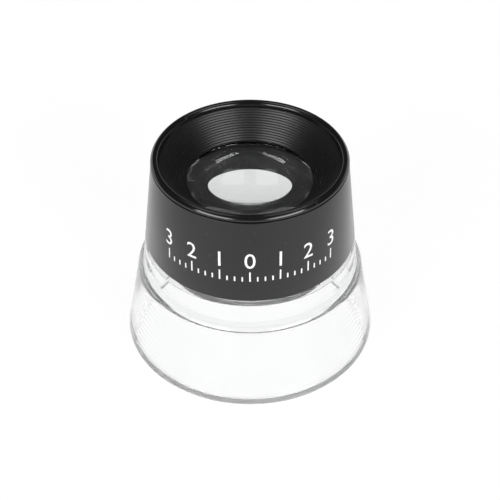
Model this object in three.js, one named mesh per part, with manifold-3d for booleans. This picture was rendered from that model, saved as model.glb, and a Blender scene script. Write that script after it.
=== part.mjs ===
// Viewing loupe for slides, negatives and prints. A clear plastic stand rests on the film, and a
// black focusing eyepiece screws up and down on the stand's neck. The eyepiece is an outer barrel
// with an eyecup in its top, around a lens tube that holds two lenses.
// Millimetres, +Z up. The origin is the centre of the stand's foot, on the film.

import * as THREE from 'three';
import { mergeVertices } from 'three/addons/utils/BufferGeometryUtils.js';
import Module from 'manifold-3d';

const wasm = await Module();
wasm.setup();

// ---- driving dimensions ----
const SEGMENTS = 48; // flats around every turned piece
const FIXED_GAP = 0.05; // between pieces that are pressed or clamped together

// The band of the stand and the barrel share one cone.
const BARREL_BOTTOM_Z = 21.4;
const BARREL_BOTTOM_RADIUS = 18.9;
const CONE_SLOPE = 0.106; // radius lost per millimetre of height, about 6 degrees
const BARREL_TOP_Z = 37.2;

// Clear stand
const FOOT_RADIUS = 23;
const FOOT_EDGE = 0.5;
const SKIRT_TOP_Z = 14.6;
const SKIRT_TOP_RADIUS = 20.45;
const SKIRT_WALL = 2.15;
const LEDGE_Z = 15.1;
const BAND_TOP_Z = 20.35;
const BORE_BOTTOM_Z = 15.2;
const BORE_BOTTOM_RADIUS = 16.4;
const NECK_RADIUS = 16.7; // root of the outer thread
const NECK_TOP_Z = 27.6;
const NECK_BORE_RADIUS = 14.85;
const NECK_CHAMFER = 0.3;

// Focusing thread: three starts, so one turn of the eyepiece lifts it by three pitches
const THREAD_STARTS = 3;
const THREAD_LEAD = 3.2;
const THREAD_PITCH = THREAD_LEAD / THREAD_STARTS;
const THREAD_CREST_HALF = 0.14;
const THREAD_BASE_HALF = 0.33;
const THREAD_BURIED = 0.2; // how deep a ridge's base sits in its wall
const THREAD_HEIGHT = 0.35;
const NECK_THREAD_Z = [21.9, 26.4];
const BARREL_THREAD_Z = [22.4, 24.6];
const DEGREES_PER_STEP = 7.5;

// Barrel
const BARREL_BORE_RADIUS = 17.25; // root of the inner thread
const BARREL_MOUTH_CHAMFER = 0.35;
const SHELF_BOTTOM_Z = 28.75;
const SHELF_TOP_Z = 29.95;
const SHELF_HOLE_RADIUS = 13.95;
const EYECUP_SOCKET_RADIUS = 16.05;

// Eyecup
// Lip for the eye, from its undercut over the barrel, up the sloping outside and over the round
// crest to the funnel
const LIP = [
  [16.9, 37.25],
  [17.24, 37.55],
  [17.24, 37.72],
  [17.16, 37.9],
  [16.84, 38.32],
  [16.72, 38.4],
  [16.55, 38.42],
  [16.25, 38.34],
  [16.0, 38.17],
  [15.85, 37.95],
];
const EYECUP_SKIRT_RADIUS = 16.0;
const EYECUP_SKIRT_BORE = 14.7;
const EYECUP_BOTTOM_Z = 31.2;
const APERTURE_RADIUS = 11.1;
const APERTURE_Z = 33.28;
const APERTURE_LAND_Z = 33.05;
const FUNNEL_TOP = [15.7, 37.35]; // where the funnel meets the lip
const FUNNEL_STEPS = 13;

// Lenses: two plano-convex lenses with their flat faces towards each other. Together they focus
// about 27 mm away, on the film under the stand, and magnify about nine times.
const LENS_RADIUS = 12.0;
const UPPER_CURVE_RADIUS = 31.5;
const LOWER_CURVE_RADIUS = 22.5;
const LENS_EDGE = 2.6;
const LOWER_FLAT_Z = 29.53;
const UPPER_FLAT_Z = 29.93;
const LENS_ARC_STEPS = 8;

// Lens tube, spacer and retaining ring
const TUBE_BOTTOM_Z = 18.3;
const TUBE_RADIUS = 13.8;
const TUBE_TOP_Z = 32.95;
const FIELD_STOP_RADIUS = 11.8;
const SEAT_Z = 26.75;
const CELL_BORE_RADIUS = 12.1;
const FLANGE_RADIUS = 15.95;
const FLANGE_THICKNESS = 1.15;
const SPACER_BORE_RADIUS = 11.6;
const RETAINER_BORE_RADIUS = 11.5;
const RETAINER_TOP_Z = 33;

// ---- geometry helpers ----

const coneRadius = (z) => BARREL_BOTTOM_RADIUS + (BARREL_BOTTOM_Z - z) * CONE_SLOPE;

// Height of a lens's curved face over its flat one, at a radius.
const lensHeight = (curveRadius, radius) => LENS_EDGE
  + Math.sqrt(curveRadius ** 2 - radius ** 2) - Math.sqrt(curveRadius ** 2 - LENS_RADIUS ** 2);

// Turns an outline of [radius, height] points around Z. The outline runs anticlockwise with the
// material on its left, and closes on itself unless both its ends are on the axis.
function turned(outline) {
  const onAxis = outline[0][0] === 0 && outline.at(-1)[0] === 0;
  const loop = onAxis ? outline : [...outline, outline[0]];
  const points = loop.map(([radius, z]) => new THREE.Vector2(radius, z));
  return new THREE.LatheGeometry(points, SEGMENTS).rotateX(Math.PI / 2);
}

// Points on a circle in the outline's plane, from one angle to another in degrees.
function arc([centreRadius, centreZ], radius, fromDegrees, toDegrees, steps) {
  return Array.from({ length: steps + 1 }, (_, i) => {
    const angle = THREE.MathUtils.degToRad(fromDegrees + ((toDegrees - fromDegrees) * i) / steps);
    return [centreRadius + radius * Math.cos(angle), centreZ + radius * Math.sin(angle)];
  });
}

// A helical ridge with a trapezium section, wide at the wall it grows from and narrow at its
// crest, between two heights. phase moves it up by that fraction of a pitch.
function threadRidge(wallRadius, crestRadius, [zFrom, zTo], phase) {
  const buried = wallRadius - Math.sign(crestRadius - wallRadius) * THREAD_BURIED;
  const section = [
    [buried, -THREAD_BASE_HALF],
    [crestRadius, -THREAD_CREST_HALF],
    [crestRadius, THREAD_CREST_HALF],
    [buried, THREAD_BASE_HALF],
  ];
  const outward = crestRadius > wallRadius;
  const startAngle = ((zFrom - phase * THREAD_PITCH) / THREAD_LEAD) * 2 * Math.PI;
  const sweep = ((zTo - zFrom) / THREAD_LEAD) * 2 * Math.PI;
  const steps = Math.round(THREE.MathUtils.radToDeg(sweep) / DEGREES_PER_STEP);
  const positions = [];
  for (let i = 0; i <= steps; i++) {
    const angle = startAngle + (sweep * i) / steps;
    const z = zFrom + ((zTo - zFrom) * i) / steps;
    for (const [radius, dz] of section) {
      positions.push(radius * Math.cos(angle), radius * Math.sin(angle), z + dz);
    }
  }
  const count = section.length;
  const triangles = [];
  const quad = (a, b, c, d) => triangles.push(outward ? [a, b, c] : [a, c, b],
    outward ? [a, c, d] : [a, d, c]);
  for (let i = 0; i < steps; i++) {
    for (let j = 0; j < count; j++) {
      const k = (j + 1) % count;
      quad(i * count + j, (i + 1) * count + j, (i + 1) * count + k, i * count + k);
    }
  }
  quad(0, 1, 2, 3);
  quad(steps * count + 3, steps * count + 2, steps * count + 1, steps * count);
  const geometry = new THREE.BufferGeometry();
  geometry.setAttribute('position', new THREE.Float32BufferAttribute(positions, 3));
  geometry.setIndex(triangles.flat());
  return geometry;
}

function toSolid(geometry) {
  const bare = geometry.clone();
  bare.deleteAttribute('normal');
  bare.deleteAttribute('uv');
  const merged = mergeVertices(bare, 1e-5);
  const index = merged.index.array;
  const triVerts = [];
  for (let i = 0; i < index.length; i += 3) {
    const [a, b, c] = [index[i], index[i + 1], index[i + 2]];
    if (a !== b && b !== c && c !== a) triVerts.push(a, b, c);
  }
  return new wasm.Manifold(new wasm.Mesh({
    numProp: 3,
    vertProperties: new Float32Array(merged.attributes.position.array),
    triVerts: new Uint32Array(triVerts),
  }));
}

function fromSolid(solid) {
  const mesh = solid.getMesh();
  const geometry = new THREE.BufferGeometry();
  geometry.setAttribute('position', new THREE.BufferAttribute(mesh.vertProperties, 3));
  geometry.setIndex(new THREE.BufferAttribute(mesh.triVerts, 1));
  geometry.computeVertexNormals();
  return geometry;
}

// Joins the thread's ridges, one for each start, to a turned piece.
function withThread(geometry, wallRadius, crestRadius, span, phase) {
  let solid = toSolid(geometry);
  for (let start = 0; start < THREAD_STARTS; start++) {
    solid = solid.add(toSolid(threadRidge(wallRadius, crestRadius, span, phase + start)));
  }
  return fromSolid(solid);
}

function piece(name, geometry, material) {
  const mesh = new THREE.Mesh(geometry, material);
  mesh.name = name;
  return mesh;
}

// ---- materials ----

const clearPlastic = () => new THREE.MeshStandardMaterial({
  color: 0xf2f5f6, roughness: 0.05, metalness: 0, transparent: true, opacity: 0.35,
});
const lensMaterial = () => new THREE.MeshStandardMaterial({
  color: 0xe8eef0, roughness: 0.02, metalness: 0, transparent: true, opacity: 0.3,
});
const blackPlastic = (roughness) => new THREE.MeshStandardMaterial({
  color: 0x1b1b1d, roughness, metalness: 0,
});

// ---- pieces ----

// Skirt, rounded ledge, straight band and threaded neck in one clear moulding, open right through.
function clearStand() {
  const ledgeRadius = coneRadius(LEDGE_Z);
  const round = SKIRT_TOP_RADIUS - ledgeRadius - 0.4;
  const outline = [
    [FOOT_RADIUS, 0],
    [FOOT_RADIUS, FOOT_EDGE],
    [SKIRT_TOP_RADIUS, SKIRT_TOP_Z],
    ...arc([SKIRT_TOP_RADIUS - round, LEDGE_Z - round], round, 30, 90, 2),
    [ledgeRadius, LEDGE_Z],
    [coneRadius(BAND_TOP_Z), BAND_TOP_Z],
    [NECK_RADIUS, BAND_TOP_Z],
    [NECK_RADIUS, NECK_TOP_Z - NECK_CHAMFER],
    [NECK_RADIUS - NECK_CHAMFER, NECK_TOP_Z],
    [NECK_BORE_RADIUS, NECK_TOP_Z],
    [BORE_BOTTOM_RADIUS, BORE_BOTTOM_Z],
    [SKIRT_TOP_RADIUS - SKIRT_WALL, SKIRT_TOP_Z - 0.4],
    [FOOT_RADIUS - SKIRT_WALL, 0],
  ];
  const crest = NECK_RADIUS + THREAD_HEIGHT;
  const geometry = withThread(turned(outline), NECK_RADIUS, crest, NECK_THREAD_Z, 0);
  return piece('clear_stand', geometry, clearPlastic());
}

// Tapered outer shell. Its lower bore turns on the neck, and a shelf inside carries the lens tube.
function focusBarrel() {
  const outline = [
    [BARREL_BORE_RADIUS + BARREL_MOUTH_CHAMFER, BARREL_BOTTOM_Z],
    [BARREL_BOTTOM_RADIUS, BARREL_BOTTOM_Z],
    [coneRadius(BARREL_TOP_Z), BARREL_TOP_Z],
    [EYECUP_SOCKET_RADIUS, BARREL_TOP_Z],
    [EYECUP_SOCKET_RADIUS, SHELF_TOP_Z],
    [SHELF_HOLE_RADIUS, SHELF_TOP_Z],
    [SHELF_HOLE_RADIUS, SHELF_BOTTOM_Z],
    [BARREL_BORE_RADIUS, SHELF_BOTTOM_Z],
    [BARREL_BORE_RADIUS, BARREL_BOTTOM_Z + BARREL_MOUTH_CHAMFER],
  ];
  const crest = BARREL_BORE_RADIUS - THREAD_HEIGHT;
  const geometry = withThread(turned(outline), BARREL_BORE_RADIUS, crest, BARREL_THREAD_Z, 0.5);
  return piece('focus_barrel', geometry, blackPlastic(0.5));
}

// Round lip for the eye, and a stepped funnel down to the lens so that its wall doesn't glare.
function eyecup() {
  const [funnelRadius, funnelZ] = FUNNEL_TOP;
  const tread = (funnelRadius - APERTURE_RADIUS) / FUNNEL_STEPS;
  const riser = (funnelZ - APERTURE_Z) / FUNNEL_STEPS;
  const steps = Array.from({ length: FUNNEL_STEPS }, (_, i) => [
    [funnelRadius - tread * i, funnelZ - riser * (i + 1)],
    [funnelRadius - tread * (i + 1), funnelZ - riser * (i + 1)],
  ]).flat();
  const outline = [
    [EYECUP_SKIRT_RADIUS, EYECUP_BOTTOM_Z],
    [EYECUP_SKIRT_RADIUS, BARREL_TOP_Z + FIXED_GAP],
    ...LIP,
    [funnelRadius, funnelZ],
    ...steps,
    [APERTURE_RADIUS, APERTURE_LAND_Z],
    [APERTURE_RADIUS + 2.3, APERTURE_LAND_Z],
    [EYECUP_SKIRT_BORE, APERTURE_LAND_Z + 1.4],
    [EYECUP_SKIRT_BORE, EYECUP_BOTTOM_Z],
  ];
  return piece('eyecup', turned(outline), blackPlastic(0.2));
}

// Carries both lenses. Its flange is clamped between the barrel's shelf and the eyecup, and its
// long lower end shades the lens from the bright stand.
function lensTube() {
  const flangeZ = SHELF_TOP_Z + FIXED_GAP;
  const outline = [
    [FIELD_STOP_RADIUS, TUBE_BOTTOM_Z],
    [TUBE_RADIUS, TUBE_BOTTOM_Z],
    [TUBE_RADIUS, flangeZ],
    [FLANGE_RADIUS, flangeZ],
    [FLANGE_RADIUS, flangeZ + FLANGE_THICKNESS],
    [TUBE_RADIUS, flangeZ + FLANGE_THICKNESS],
    [TUBE_RADIUS, TUBE_TOP_Z],
    [CELL_BORE_RADIUS, TUBE_TOP_Z],
    [CELL_BORE_RADIUS, SEAT_Z],
    [FIELD_STOP_RADIUS, SEAT_Z],
  ];
  return piece('lens_tube', turned(outline), blackPlastic(0.6));
}

// A plano-convex lens on its flat face, with its curved face up.
function lensGeometry(curveRadius) {
  const edgeAngle = THREE.MathUtils.radToDeg(Math.asin(LENS_RADIUS / curveRadius));
  const centreZ = lensHeight(curveRadius, 0) - curveRadius;
  const dome = arc([0, centreZ], curveRadius, 90 - edgeAngle, 90, LENS_ARC_STEPS);
  dome[LENS_ARC_STEPS][0] = 0;
  return turned([[0, 0], [LENS_RADIUS, 0], ...dome]);
}

function upperLens() {
  const mesh = piece('upper_lens', lensGeometry(UPPER_CURVE_RADIUS), lensMaterial());
  mesh.position.z = UPPER_FLAT_Z;
  return mesh;
}

function lowerLens() {
  const mesh = piece('lower_lens', lensGeometry(LOWER_CURVE_RADIUS), lensMaterial());
  mesh.rotation.x = Math.PI;
  mesh.position.z = LOWER_FLAT_Z;
  return mesh;
}

// A thin ring that keeps the lenses' flat faces apart.
function lensSpacer() {
  const [bottom, top] = [LOWER_FLAT_Z + FIXED_GAP, UPPER_FLAT_Z - FIXED_GAP];
  const outline = [
    [SPACER_BORE_RADIUS, bottom],
    [LENS_RADIUS, bottom],
    [LENS_RADIUS, top],
    [SPACER_BORE_RADIUS, top],
  ];
  return piece('lens_spacer', turned(outline), blackPlastic(0.7));
}

// Holds the stack of lenses down in the tube, out of sight under the eyecup's edge. Its underside
// follows the rim of the upper lens.
function retainingRing() {
  const underside = (radius) => UPPER_FLAT_Z + lensHeight(UPPER_CURVE_RADIUS, radius) + FIXED_GAP;
  const outline = [
    [RETAINER_BORE_RADIUS, underside(RETAINER_BORE_RADIUS)],
    [LENS_RADIUS, underside(LENS_RADIUS)],
    [LENS_RADIUS, RETAINER_TOP_Z],
    [RETAINER_BORE_RADIUS, RETAINER_TOP_Z],
  ];
  return piece('retaining_ring', turned(outline), blackPlastic(0.6));
}

// ---- assembly ----

const lensGroup = new THREE.Group();
lensGroup.add(lensTube(), lowerLens(), lensSpacer(), upperLens(), retainingRing());

const eyepieceShell = new THREE.Group();
eyepieceShell.add(focusBarrel(), eyecup());

const loupe = new THREE.Group();
loupe.add(clearStand(), lensGroup, eyepieceShell);

export default loupe;
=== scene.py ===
"""Viewing loupe standing on a pale table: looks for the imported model."""
import math

import bmesh
import bpy
from mathutils import Matrix, Vector

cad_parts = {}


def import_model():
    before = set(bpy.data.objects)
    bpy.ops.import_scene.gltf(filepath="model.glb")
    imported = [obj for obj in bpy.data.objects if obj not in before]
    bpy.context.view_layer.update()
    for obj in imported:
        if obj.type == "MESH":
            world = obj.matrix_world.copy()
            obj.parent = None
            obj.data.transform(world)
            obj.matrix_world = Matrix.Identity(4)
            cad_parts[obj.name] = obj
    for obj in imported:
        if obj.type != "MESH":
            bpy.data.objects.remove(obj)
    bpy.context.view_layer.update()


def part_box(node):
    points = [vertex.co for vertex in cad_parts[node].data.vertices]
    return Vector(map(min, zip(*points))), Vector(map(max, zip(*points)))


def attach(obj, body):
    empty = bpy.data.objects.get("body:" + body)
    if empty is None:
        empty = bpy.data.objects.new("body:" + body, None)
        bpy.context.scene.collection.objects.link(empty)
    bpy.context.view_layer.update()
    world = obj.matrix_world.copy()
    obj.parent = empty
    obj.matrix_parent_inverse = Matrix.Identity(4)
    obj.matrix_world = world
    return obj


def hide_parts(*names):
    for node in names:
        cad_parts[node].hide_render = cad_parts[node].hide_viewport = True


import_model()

MM = 0.001
SEGMENTS = 256


# ---- sizes, from the frame ----

def radius_of(node):
    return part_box(node)[1].x / MM


def bottom_of(node):
    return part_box(node)[0].z / MM


def top_of(node):
    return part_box(node)[1].z / MM


FOOT_RADIUS = radius_of("clear_stand")
NECK_TOP = top_of("clear_stand")
BARREL_BOTTOM = bottom_of("focus_barrel")
BARREL_TOP = top_of("focus_barrel")
BARREL_RADIUS = radius_of("focus_barrel")
LIP_RADIUS = radius_of("eyecup")
LIP_TOP = top_of("eyecup")
CONE_SLOPE = 0.106  # radius lost per millimetre of height
LENS_RADIUS = radius_of("upper_lens")
LENS_EDGE = 2.6
UPPER_CURVE = 31.5  # radius of the upper lens's curved face
LOWER_CURVE = 22.5
UPPER_FLAT = bottom_of("upper_lens")
LOWER_FLAT = top_of("lower_lens")
SPACER_BORE = 11.6
RETAINER_BORE = 11.5

THREAD_STARTS = 3
THREAD_LEAD = 3.2
THREAD_PITCH = THREAD_LEAD / THREAD_STARTS
THREAD_HEIGHT = 0.35
THREAD_CREST_HALF = 0.14
THREAD_FLANK = 0.14
THREAD_RUN_OUT = 0.4  # height over which a thread dies away at its ends
NECK_THREAD = (21.6, 26.7)  # heights of its lower and upper end
BARREL_THREAD = (22.1, 24.9)
NECK_RADIUS = 16.7
BARREL_BORE = 17.25


def cone_radius(z):
    """The cone that the barrel and the stand's band share."""
    return BARREL_RADIUS + (BARREL_BOTTOM - z) * CONE_SLOPE


def lens_height(curve, radius):
    """Height of a lens's curved face over its flat one, at a radius."""
    return LENS_EDGE + math.sqrt(curve ** 2 - radius ** 2) - math.sqrt(curve ** 2 - LENS_RADIUS ** 2)


RETAINER_INNER_BOTTOM = UPPER_FLAT + lens_height(UPPER_CURVE, RETAINER_BORE) + 0.05

# ---- mesh helpers ----

def arc(centre, radius, start, end, steps):
    """Points of a circle in the outline's plane, angles in degrees."""
    points = []
    for i in range(steps + 1):
        angle = math.radians(start + (end - start) * i / steps)
        points.append((centre[0] + radius * math.cos(angle), centre[1] + radius * math.sin(angle)))
    return points


def rounded(outline, radius, steps=4):
    """The outline with each corner rounded; a corner may give its own radius as a third number."""
    result = []
    for i, corner in enumerate(outline):
        here = Vector(corner[:2])
        back = Vector(outline[i - 1][:2]) - here
        ahead = Vector(outline[(i + 1) % len(outline)][:2]) - here
        wanted = corner[2] if len(corner) > 2 else radius
        reach = min(wanted, back.length * 0.45, ahead.length * 0.45)
        if reach <= 0.001:
            result.append(tuple(here))
            continue
        start = here + back.normalized() * reach
        end = here + ahead.normalized() * reach
        for k in range(steps + 1):
            t = k / steps
            result.append(tuple(start * (1 - t) ** 2 + here * 2 * t * (1 - t) + end * t ** 2))
    return result


def sampled(start, end, steps):
    """Evenly spaced points on a straight run, both ends included."""
    return [tuple(Vector(start).lerp(Vector(end), i / steps)) for i in range(steps + 1)]


def turned(name, outline, material, offset=None, segments=SEGMENTS, sharp=30):
    """Turns a closed outline of (radius, z) in millimetres around Z. offset(radius, z, angle) may add
    to the radius of a point, for threads. An outline that starts and ends on the axis is capped there."""
    solid = outline[0][0] < 1e-6 and outline[-1][0] < 1e-6
    rings = outline[1:-1] if solid else outline
    verts, faces = [], []
    for radius, z in rings:
        for i in range(segments):
            angle = 2 * math.pi * i / segments
            r = radius + (offset(radius, z, angle) if offset else 0.0)
            verts.append((r * math.cos(angle) * MM, r * math.sin(angle) * MM, z * MM))
    for j in range(len(rings) - 1 if solid else len(rings)):
        low = j * segments
        high = (j + 1) % len(rings) * segments
        for i in range(segments):
            k = (i + 1) % segments
            faces.append((low + i, low + k, high + k, high + i))
    if solid:
        last = (len(rings) - 1) * segments
        first_pole, last_pole = len(verts), len(verts) + 1
        verts += [(0.0, 0.0, z * MM) for _, z in (outline[0], outline[-1])]
        for i in range(segments):
            k = (i + 1) % segments
            faces.append((k, i, first_pole))
            faces.append((last + i, last + k, last_pole))
    return mesh_object(name, verts, faces, material, sharp)


def mesh_object(name, verts, faces, material, sharp=30):
    """Smooth shaded, with edges over the angle sharp, in degrees, kept crisp."""
    mesh = bpy.data.meshes.new(name)
    mesh.from_pydata(verts, [], faces)
    mesh.validate()
    mesh.polygons.foreach_set("use_smooth", [True] * len(mesh.polygons))
    mesh.set_sharp_from_angle(angle=math.radians(sharp))
    mesh.materials.append(material)
    piece = bpy.data.objects.new(name, mesh)
    bpy.context.scene.collection.objects.link(piece)
    return piece


def thread_offset(span, height, phase, wall):
    """Gives the function that says how much radius a thread adds on the wall of that radius, between
    two heights. height is negative inside a bore, and phase moves the thread by a share of its pitch."""
    def offset(radius, z, angle):
        if abs(radius - wall) > 0.02 or not span[0] <= z <= span[1]:
            return 0.0
        turns = (z / THREAD_LEAD - angle / (2 * math.pi)) * THREAD_STARTS - phase
        distance = abs(turns - round(turns)) * THREAD_PITCH
        shape = min(1.0, max(0.0, 1 - (distance - THREAD_CREST_HALF) / THREAD_FLANK))
        fade = min(1.0, (z - span[0]) / THREAD_RUN_OUT, (span[1] - z) / THREAD_RUN_OUT)
        return height * shape * fade

    return offset


# ---- materials ----

def new_material(name):
    """A material with its node tree and its shader."""
    material = bpy.data.materials.new(name)
    material.use_nodes = True
    return material, material.node_tree, material.node_tree.nodes["Principled BSDF"]


def node(tree, kind, **settings):
    """A shader node; settings name its properties, or its inputs by their labels with _ for spaces."""
    made = tree.nodes.new(kind)
    for key, value in settings.items():
        label = key.replace("_", " ")
        if label in made.inputs:
            made.inputs[label].default_value = value
        else:
            setattr(made, key, value)
    return made


def noise(tree, scale, detail=3.0, stretch=(1, 1, 1)):
    """Noise in object coordinates, in repeats per metre; stretch scales each axis of the lookup."""
    coordinates = node(tree, "ShaderNodeTexCoord")
    mapping = node(tree, "ShaderNodeMapping")
    mapping.inputs["Scale"].default_value = stretch
    tree.links.new(coordinates.outputs["Object"], mapping.inputs["Vector"])
    texture = node(tree, "ShaderNodeTexNoise", Scale=scale, Detail=detail)
    tree.links.new(mapping.outputs["Vector"], texture.inputs["Vector"])
    return texture.outputs["Fac"]


def ranged(tree, source, low, high, from_low=0.0, from_high=1.0):
    """source mapped from one range to another, clamped."""
    made = node(tree, "ShaderNodeMapRange")
    made.inputs["From Min"].default_value = from_low
    made.inputs["From Max"].default_value = from_high
    made.inputs["To Min"].default_value = low
    made.inputs["To Max"].default_value = high
    tree.links.new(source, made.inputs["Value"])
    return made.outputs["Result"]


def combined(tree, operation, one, other):
    """Two values put together by a math operation."""
    made = node(tree, "ShaderNodeMath", operation=operation)
    tree.links.new(one, made.inputs[0])
    tree.links.new(other, made.inputs[1])
    return made.outputs["Value"]


def bump(tree, shader, source, depth):
    """Raises the surface by source times depth, in metres."""
    made = node(tree, "ShaderNodeBump", Strength=1.0, Distance=depth)
    tree.links.new(source, made.inputs["Height"])
    tree.links.new(made.outputs["Normal"], shader.inputs["Normal"])


def height_at_rest(tree):
    """Height over the foot in metres, with the piece where it is at rest."""
    place = node(tree, "ShaderNodeSeparateXYZ")
    tree.links.new(node(tree, "ShaderNodeTexCoord").outputs["Object"], place.inputs["Vector"])
    return place.outputs["Z"]


def clear_plastic():
    """Polished clear plastic, slightly milky, with faint scratches and a frosted foot face."""
    material, tree, shader = new_material("clear_plastic")
    shader.inputs["Base Color"].default_value = (0.985, 0.99, 0.99, 1)
    clouds = ranged(tree, noise(tree, 90), 0.97, 0.93, 0.3, 0.7)
    frosted_foot = ranged(tree, height_at_rest(tree), 0.3, 1.0, 0.00005, 0.0003)
    clearness = combined(tree, "MULTIPLY", clouds, frosted_foot)
    tree.links.new(clearness, shader.inputs["Transmission Weight"])
    shader.inputs["IOR"].default_value = 1.49
    scratches = ranged(tree, noise(tree, 900, 2.0, (1, 1, 0.06)), 0.02, 0.12, 0.62, 0.78)
    tree.links.new(scratches, shader.inputs["Roughness"])
    bump(tree, shader, noise(tree, 60, 2.0), 0.000004)
    return material


def lens_glass():
    """Clear lens with a few specks of dust."""
    material, tree, shader = new_material("lens_glass")
    shader.inputs["Base Color"].default_value = (0.985, 0.992, 0.99, 1)
    shader.inputs["Transmission Weight"].default_value = 1.0
    shader.inputs["IOR"].default_value = 1.52
    specks = noise(tree, 2500, 1.0)
    tree.links.new(ranged(tree, specks, 0.0, 0.15, 0.74, 0.82), shader.inputs["Roughness"])
    return material


def black_plastic(name, colour, rough, grain, shine=0.5, dust=0.0, dull_below=0.0):
    """Moulded black plastic with pale dust in places. rough is the range that its roughness wanders
    over, grain is the fine grain's repeats per metre and its depth in metres, dust is the pale sheen
    seen at a grazing angle, and the surface is duller below the height dull_below, in metres."""
    material, tree, shader = new_material(name)
    mix = node(tree, "ShaderNodeMix", data_type="RGBA")
    tree.links.new(ranged(tree, noise(tree, 1400, 4.0), 0.0, 1.0, 0.66, 0.85), mix.inputs["Factor"])
    mix.inputs["A"].default_value = (*colour, 1)
    mix.inputs["B"].default_value = (*[c + 0.05 for c in colour], 1)
    tree.links.new(mix.outputs["Result"], shader.inputs["Base Color"])
    wander = ranged(tree, noise(tree, 120), rough[0], rough[1], 0.3, 0.7)
    dull = ranged(tree, height_at_rest(tree), 0.24, 0.0, dull_below, dull_below + 0.0002)
    tree.links.new(combined(tree, "ADD", wander, dull), shader.inputs["Roughness"])
    shader.inputs["IOR"].default_value = 1.5
    shader.inputs["Specular IOR Level"].default_value = shine
    shader.inputs["Sheen Weight"].default_value = dust
    shader.inputs["Sheen Roughness"].default_value = 0.3
    bump(tree, shader, noise(tree, grain[0], 2.0), grain[1])
    return material


def white_ink():
    """Printed white, a little worn."""
    material, tree, shader = new_material("white_ink")
    shade = ranged(tree, noise(tree, 1800), 0.72, 0.9, 0.3, 0.6)
    tree.links.new(shade, shader.inputs["Base Color"])
    shader.inputs["Roughness"].default_value = 0.55
    bump(tree, shader, noise(tree, 3000, 2.0), 0.000004)
    return material


def table_top():
    """Pale matt table. It glows a little, so that it stays white under the soft light."""
    material, tree, shader = new_material("table_top")
    shade = ranged(tree, noise(tree, 8), 0.09, 0.11, 0.3, 0.7)
    tree.links.new(shade, shader.inputs["Base Color"])
    shader.inputs["Roughness"].default_value = 0.7
    shader.inputs["Emission Color"].default_value = (1, 1, 1, 1)
    shader.inputs["Emission Strength"].default_value = 0.92
    return material


CLEAR = clear_plastic()
LENS = lens_glass()
SATIN = black_plastic("satin_black", (0.004, 0.004, 0.005), (0.28, 0.35), (4000, 0.000008), dust=0.9)
GLOSS = black_plastic("gloss_black", (0.005, 0.005, 0.005), (0.12, 0.18), (1500, 0.000001),
                      dull_below=BARREL_TOP * MM)
MATT = black_plastic("matt_black", (0.008, 0.008, 0.008), (0.75, 0.85), (3000, 0.000005), shine=0.15)
INK = white_ink()


# ---- pieces ----

def finished(piece, body, cad_node):
    """Puts a piece on its body, in place of its CAD node."""
    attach(piece, body)
    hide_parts(cad_node)
    return piece


def clear_stand():
    """Skirt, ledge, band and threaded neck. Faint turned rings run round inside the skirt."""
    ledge, band_top, fillet = 15.1, 20.35, 0.7
    skirt_top_radius, skirt_top, skirt_wall = 20.45, 14.6, 2.15
    bore_top_radius, bore_radius, bore_bottom = 14.85, 16.4, 15.2
    outside = rounded([
        (FOOT_RADIUS - 1.0, 0.0, 0), (FOOT_RADIUS, 0.0, 0.2), (FOOT_RADIUS, 0.5, 0.3),
        (skirt_top_radius, skirt_top, 0.9), (skirt_top_radius - 0.25, ledge, 0.45),
        (cone_radius(ledge) + fillet / 2, ledge, 0.2), (cone_radius(ledge + fillet), ledge + fillet, 0.4),
        (cone_radius(band_top), band_top, 0.12), (NECK_RADIUS, band_top, 0.1),
        (NECK_RADIUS, band_top + 0.5, 0),
    ], 0.2)[:-1]
    neck = sampled((NECK_RADIUS, band_top + 0.5), (NECK_RADIUS, NECK_TOP - 0.4), 90)
    bore = [
        (NECK_RADIUS - 0.3, NECK_TOP), (bore_top_radius, NECK_TOP), (bore_radius - 0.02, bore_bottom + 0.1),
        (bore_radius + 0.02, bore_bottom), (bore_radius + 0.15, bore_bottom - 0.09),
    ]
    inner_top = (18.3, 14.2)
    inner_foot = (FOOT_RADIUS - skirt_wall, 0.0)
    ring_pitch, ring_height, ring_fade = 1.07, 0.0025, 1.5
    wall = []
    for radius, z in sampled(inner_top, inner_foot, 112):
        fade = min(1.0, (inner_top[1] - z) / ring_fade, z / ring_fade)
        wall.append((radius + ring_height * fade * math.cos(2 * math.pi * z / ring_pitch), z))
    thread = thread_offset(NECK_THREAD, THREAD_HEIGHT, 0.0, NECK_RADIUS)
    piece = turned("clear_stand_moulding", outside + neck + bore + wall, CLEAR, thread)
    return finished(piece, "stand", "clear_stand")


def barrel():
    """Tapered barrel with a shelf inside. The eyecup sits in a socket over the shelf."""
    socket, shelf_top, shelf_bottom, shelf_hole = 16.05, 29.95, 28.75, 13.95
    outside = rounded([
        (BARREL_BORE + 0.35, BARREL_BOTTOM, 0.05), (BARREL_RADIUS, BARREL_BOTTOM, 0.25),
        (cone_radius(BARREL_TOP), BARREL_TOP, 0.12), (socket, BARREL_TOP, 0.1),
        (socket, shelf_top, 0.1), (shelf_hole, shelf_top, 0.1), (shelf_hole, shelf_bottom, 0.1),
        (BARREL_BORE, shelf_bottom, 0.1), (BARREL_BORE, shelf_bottom - 0.5, 0),
    ], 0.2)[:-1]
    bore = sampled((BARREL_BORE, shelf_bottom - 0.5), (BARREL_BORE, BARREL_BOTTOM + 0.35), 90)
    thread = thread_offset(BARREL_THREAD, -THREAD_HEIGHT, 0.5, BARREL_BORE)
    piece = turned("focus_barrel_shell", outside + bore, SATIN, thread)
    return finished(piece, "eyepiece_shell", "focus_barrel")


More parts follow.
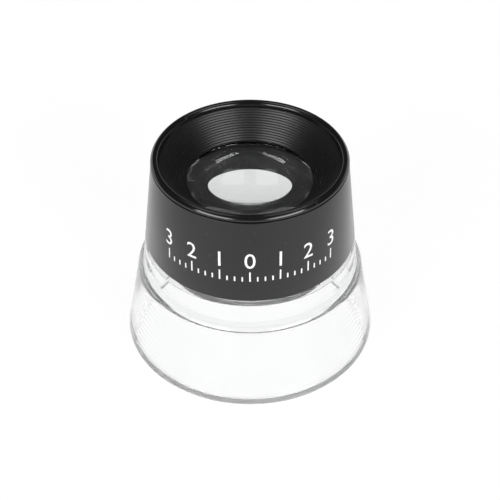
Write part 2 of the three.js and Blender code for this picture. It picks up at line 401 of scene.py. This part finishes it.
def eyecup():
    """Round lip, and a stepped funnel. Its risers lean, and its edges are slightly rounded."""
    steps = 13
    riser_share = 0.38  # of a step's width that its riser leans over
    top_radius, top, aperture, bottom, land = 15.7, 37.35, 11.1, 33.28, 33.05
    skirt_radius, skirt_bore, skirt_bottom = 16.0, 14.7, 31.2
    tread = (top_radius - aperture) / steps
    riser = (top - bottom) / steps
    funnel = []
    for i in range(steps):
        radius = top_radius - tread * i
        z = top - riser * (i + 1)
        funnel += [(radius - tread * riser_share, z, 0.02), (radius - tread, z, 0.05)]
    lip = [
        (LIP_RADIUS - 0.34, BARREL_TOP + 0.05, 0.02), (LIP_RADIUS, LIP_TOP - 0.87, 0.2),
        (LIP_RADIUS, LIP_TOP - 0.6, 0.2), (LIP_RADIUS - 0.46, LIP_TOP - 0.02, 0.3),
        (LIP_RADIUS - 0.9, LIP_TOP + 0.02, 0.4), (LIP_RADIUS - 1.35, LIP_TOP - 0.3, 0.4),
    ]
    outline = rounded([
        (skirt_radius, skirt_bottom, 0.1), (skirt_radius, BARREL_TOP + 0.05, 0.05), *lip,
        (top_radius, top, 0.1), *funnel, (aperture, land, 0.05), (aperture + 2.3, land, 0.2),
        (skirt_bore, land + 1.4, 0.2), (skirt_bore, skirt_bottom, 0.1),
    ], 0.05, 2)
    piece = turned("eyecup_ring", outline, GLOSS, sharp=50)
    return finished(piece, "eyepiece_shell", "eyecup")


def lens_tube():
    """Lens cell with its flange, and below it a shade with a plain matt bore."""
    bottom, top = bottom_of("lens_tube"), top_of("lens_tube")
    flange_bottom, flange_top, seat = 30.0, 31.15, 26.75
    flange, outside, cell, stop = radius_of("lens_tube"), 13.8, 12.1, 11.8
    outline = rounded([
        (stop, bottom, 0.1), (outside, bottom, 0.3), (outside, flange_bottom, 0.1),
        (flange, flange_bottom, 0.1), (flange, flange_top, 0.1), (outside, flange_top, 0.1),
        (outside, top, 0.2), (cell, top, 0.1), (cell, seat, 0.05), (stop, seat, 0.03),
    ], 0.1, 3)
    piece = turned("lens_tube_moulding", outline, MATT)
    return finished(piece, "lens_group", "lens_tube")


def lens(name, cad_node, flat, curve_radius, direction):
    """Plano-convex lens. direction is 1 for a curved face above the flat one, -1 for below."""
    bevel = 0.15
    centre = (0.0, lens_height(curve_radius, 0.0) - curve_radius)
    edge = math.degrees(math.acos((LENS_RADIUS - bevel) / curve_radius))
    dome = arc(centre, curve_radius, edge, 90, 56)
    dome[-1] = (0.0, dome[-1][1])
    outline = [
        (0.0, 0.0), *sampled((1.0, 0.0), (LENS_RADIUS - bevel, 0.0), 8), (LENS_RADIUS, bevel),
        (LENS_RADIUS, LENS_EDGE - bevel), *dome,
    ]
    placed = [(radius, flat + direction * z) for radius, z in outline]
    if direction < 0:
        placed.reverse()
    piece = turned(name, placed, LENS, segments=192)
    return finished(piece, "lens_group", cad_node)


def lens_ring(name, cad_node, bore, inner_low):
    """A ring at the rim of a lens. inner_low is the height of its underside at the bore."""
    low, high, outside = bottom_of(cad_node), top_of(cad_node), radius_of(cad_node)
    outline = rounded([(bore, inner_low), (outside, low), (outside, high), (bore, high)], 0.05, 3)
    piece = turned(name, outline, MATT)
    return finished(piece, "lens_group", cad_node)


def on_barrel(u, v, lift):
    """A point of the barrel's front, u millimetres round from the middle and v along its height."""
    radius = cone_radius(v) + lift
    angle = -math.pi / 2 + u / cone_radius(v)
    return radius * math.cos(angle) * MM, radius * math.sin(angle) * MM, v * MM


def numeral(text, size):
    """Flat outline of a numeral, centred, in millimetres."""
    curve = bpy.data.curves.new("numeral", "FONT")
    curve.body = text
    curve.size = size
    curve.align_x = "CENTER"
    curve.resolution_u = 4
    holder = bpy.data.objects.new("numeral", curve)
    bpy.context.scene.collection.objects.link(holder)
    bpy.context.view_layer.update()
    mesh = bpy.data.meshes.new_from_object(holder.evaluated_get(bpy.context.evaluated_depsgraph_get()))
    bpy.data.objects.remove(holder)
    bpy.data.curves.remove(curve)
    return mesh


def flat_scale():
    """The focus scale laid out flat, in millimetres: ticks, and numerals that count out from 0."""
    spacing, per_numeral, count = 5.2, 4, 3
    tick_foot, tick_half_width, short_tick, long_tick = 25.6, 0.13, 0.9, 1.9
    numeral_foot, numeral_size = 28.3, 4.2
    flat = bmesh.new()
    for step in range(-count * per_numeral, count * per_numeral + 1):
        middle = step * spacing / per_numeral
        tick_top = tick_foot + (short_tick if step % per_numeral else long_tick)
        left, right = middle - tick_half_width, middle + tick_half_width
        corners = [(left, tick_foot), (right, tick_foot), (right, tick_top), (left, tick_top)]
        flat.faces.new([flat.verts.new((*corner, 0.0)) for corner in corners])
    for number in range(-count, count + 1):
        mesh = numeral(str(abs(number)), numeral_size)
        mesh.transform(Matrix.Translation((number * spacing, numeral_foot, 0.0)))
        flat.from_mesh(mesh)
        bpy.data.meshes.remove(mesh)
    bmesh.ops.remove_doubles(flat, verts=flat.verts, dist=1e-5)
    bmesh.ops.triangulate(flat, faces=flat.faces)
    return flat


def focus_scale():
    """Plain focus scale, a thin layer of ink wrapped on the barrel's front."""
    buried, raised = -0.02, 0.03
    layer = flat_scale()
    grown = bmesh.ops.extrude_face_region(layer, geom=layer.faces)
    for element in grown["geom"]:
        if isinstance(element, bmesh.types.BMVert):
            element.co.z = 1.0
    bmesh.ops.recalc_face_normals(layer, faces=layer.faces)
    layer.verts.index_update()
    verts = [on_barrel(v.co.x, v.co.y, raised if v.co.z > 0.5 else buried) for v in layer.verts]
    faces = [tuple(v.index for v in face.verts) for face in layer.faces]
    layer.free()
    piece = mesh_object("focus_scale_print", verts, faces, INK)
    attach(piece, "eyepiece_shell")
    return piece


clear_stand()
barrel()
eyecup()
lens_tube()
lens("upper_lens_glass", "upper_lens", UPPER_FLAT, UPPER_CURVE, 1)
lens("lower_lens_glass", "lower_lens", LOWER_FLAT, LOWER_CURVE, -1)
lens_ring("lens_spacer_ring", "lens_spacer", SPACER_BORE, bottom_of("lens_spacer"))
lens_ring("retaining_ring_black", "retaining_ring", RETAINER_BORE, RETAINER_INNER_BOTTOM)
focus_scale()


# ---- table, light and camera ----

def table():
    """A wide table top, a hair below the foot."""
    half, z = 3.0, -0.00005
    corners = [(-half, -half, z), (half, -half, z), (half, half, z), (-half, half, z)]
    mesh_object("table", corners, [(0, 1, 2, 3)], table_top())


def world():
    """A dim studio, white low down all round, and higher up behind the loupe, where the table's
    paper sweeps up. The camera itself sees plain white."""
    made = bpy.data.worlds.new("studio")
    bpy.context.scene.world = made
    made.use_nodes = True
    tree = made.node_tree
    direction = node(tree, "ShaderNodeSeparateXYZ")
    tree.links.new(node(tree, "ShaderNodeTexCoord").outputs["Generated"], direction.inputs["Vector"])
    low = ranged(tree, direction.outputs["Z"], 1.0, 0.08, 0.03, 0.15)
    rising = ranged(tree, direction.outputs["Z"], 1.0, 0.0, 0.1, 0.28)
    behind = ranged(tree, direction.outputs["Y"], 0.0, 1.0, 0.3, 0.6)
    sweep = combined(tree, "MULTIPLY", rising, behind)
    white = combined(tree, "MAXIMUM", low, sweep)
    in_view = node(tree, "ShaderNodeLightPath").outputs["Is Camera Ray"]
    background = tree.nodes["Background"]
    background.inputs["Color"].default_value = (1, 1, 1, 1)
    tree.links.new(combined(tree, "MAXIMUM", white, in_view), background.inputs["Strength"])


def soft_box(name, turn, rise, width, height, brightness):
    """A lit panel a metre away that faces the loupe. turn is its angle round from straight behind
    the loupe, towards the right, and rise its angle over the table."""
    around, over = math.radians(turn), math.radians(rise)
    middle = Vector((0, 0, 0.03))
    away = Vector((math.sin(around) * math.cos(over), math.cos(around) * math.cos(over), math.sin(over)))
    light = bpy.data.lights.new(name, "AREA")
    light.shape = "RECTANGLE"
    light.size = width
    light.size_y = height
    light.energy = brightness * math.pi * width * height
    panel = bpy.data.objects.new(name, light)
    bpy.context.scene.collection.objects.link(panel)
    panel.location = middle + away
    panel.rotation_euler = (-away).to_track_quat("-Z", "Y").to_euler()
    panel.visible_camera = False


def camera():
    """Looks down at the loupe from the front, from about a quarter of a metre."""
    back, up = 7.9046 * FOOT_RADIUS, 7.5846 * FOOT_RADIUS
    tilt = 0.7149  # radians below level
    data = bpy.data.cameras.new("camera")
    data.lens = 94.53
    data.sensor_width = 36.0
    data.clip_start = 0.01
    data.clip_end = 20.0
    made = bpy.data.objects.new("camera", data)
    bpy.context.scene.collection.objects.link(made)
    made.location = (0.0, -back * MM, up * MM)
    made.rotation_euler = (math.pi / 2 - tilt, 0.0, 0.0)
    bpy.context.scene.camera = made


table()
world()
soft_box("front_left", -141, 24, 0.65, 0.3, 9.0)
soft_box("front_right", 141, 24, 0.65, 0.3, 9.0)
soft_box("top_left", -90, 68, 0.5, 0.5, 2.0)
soft_box("top_right", 90, 68, 0.5, 0.5, 2.0)
camera()
scene = bpy.context.scene
scene.view_settings.view_transform = "Standard"
scene.cycles.max_bounces = 24
scene.cycles.transmission_bounces = 24
scene.cycles.glossy_bounces = 10
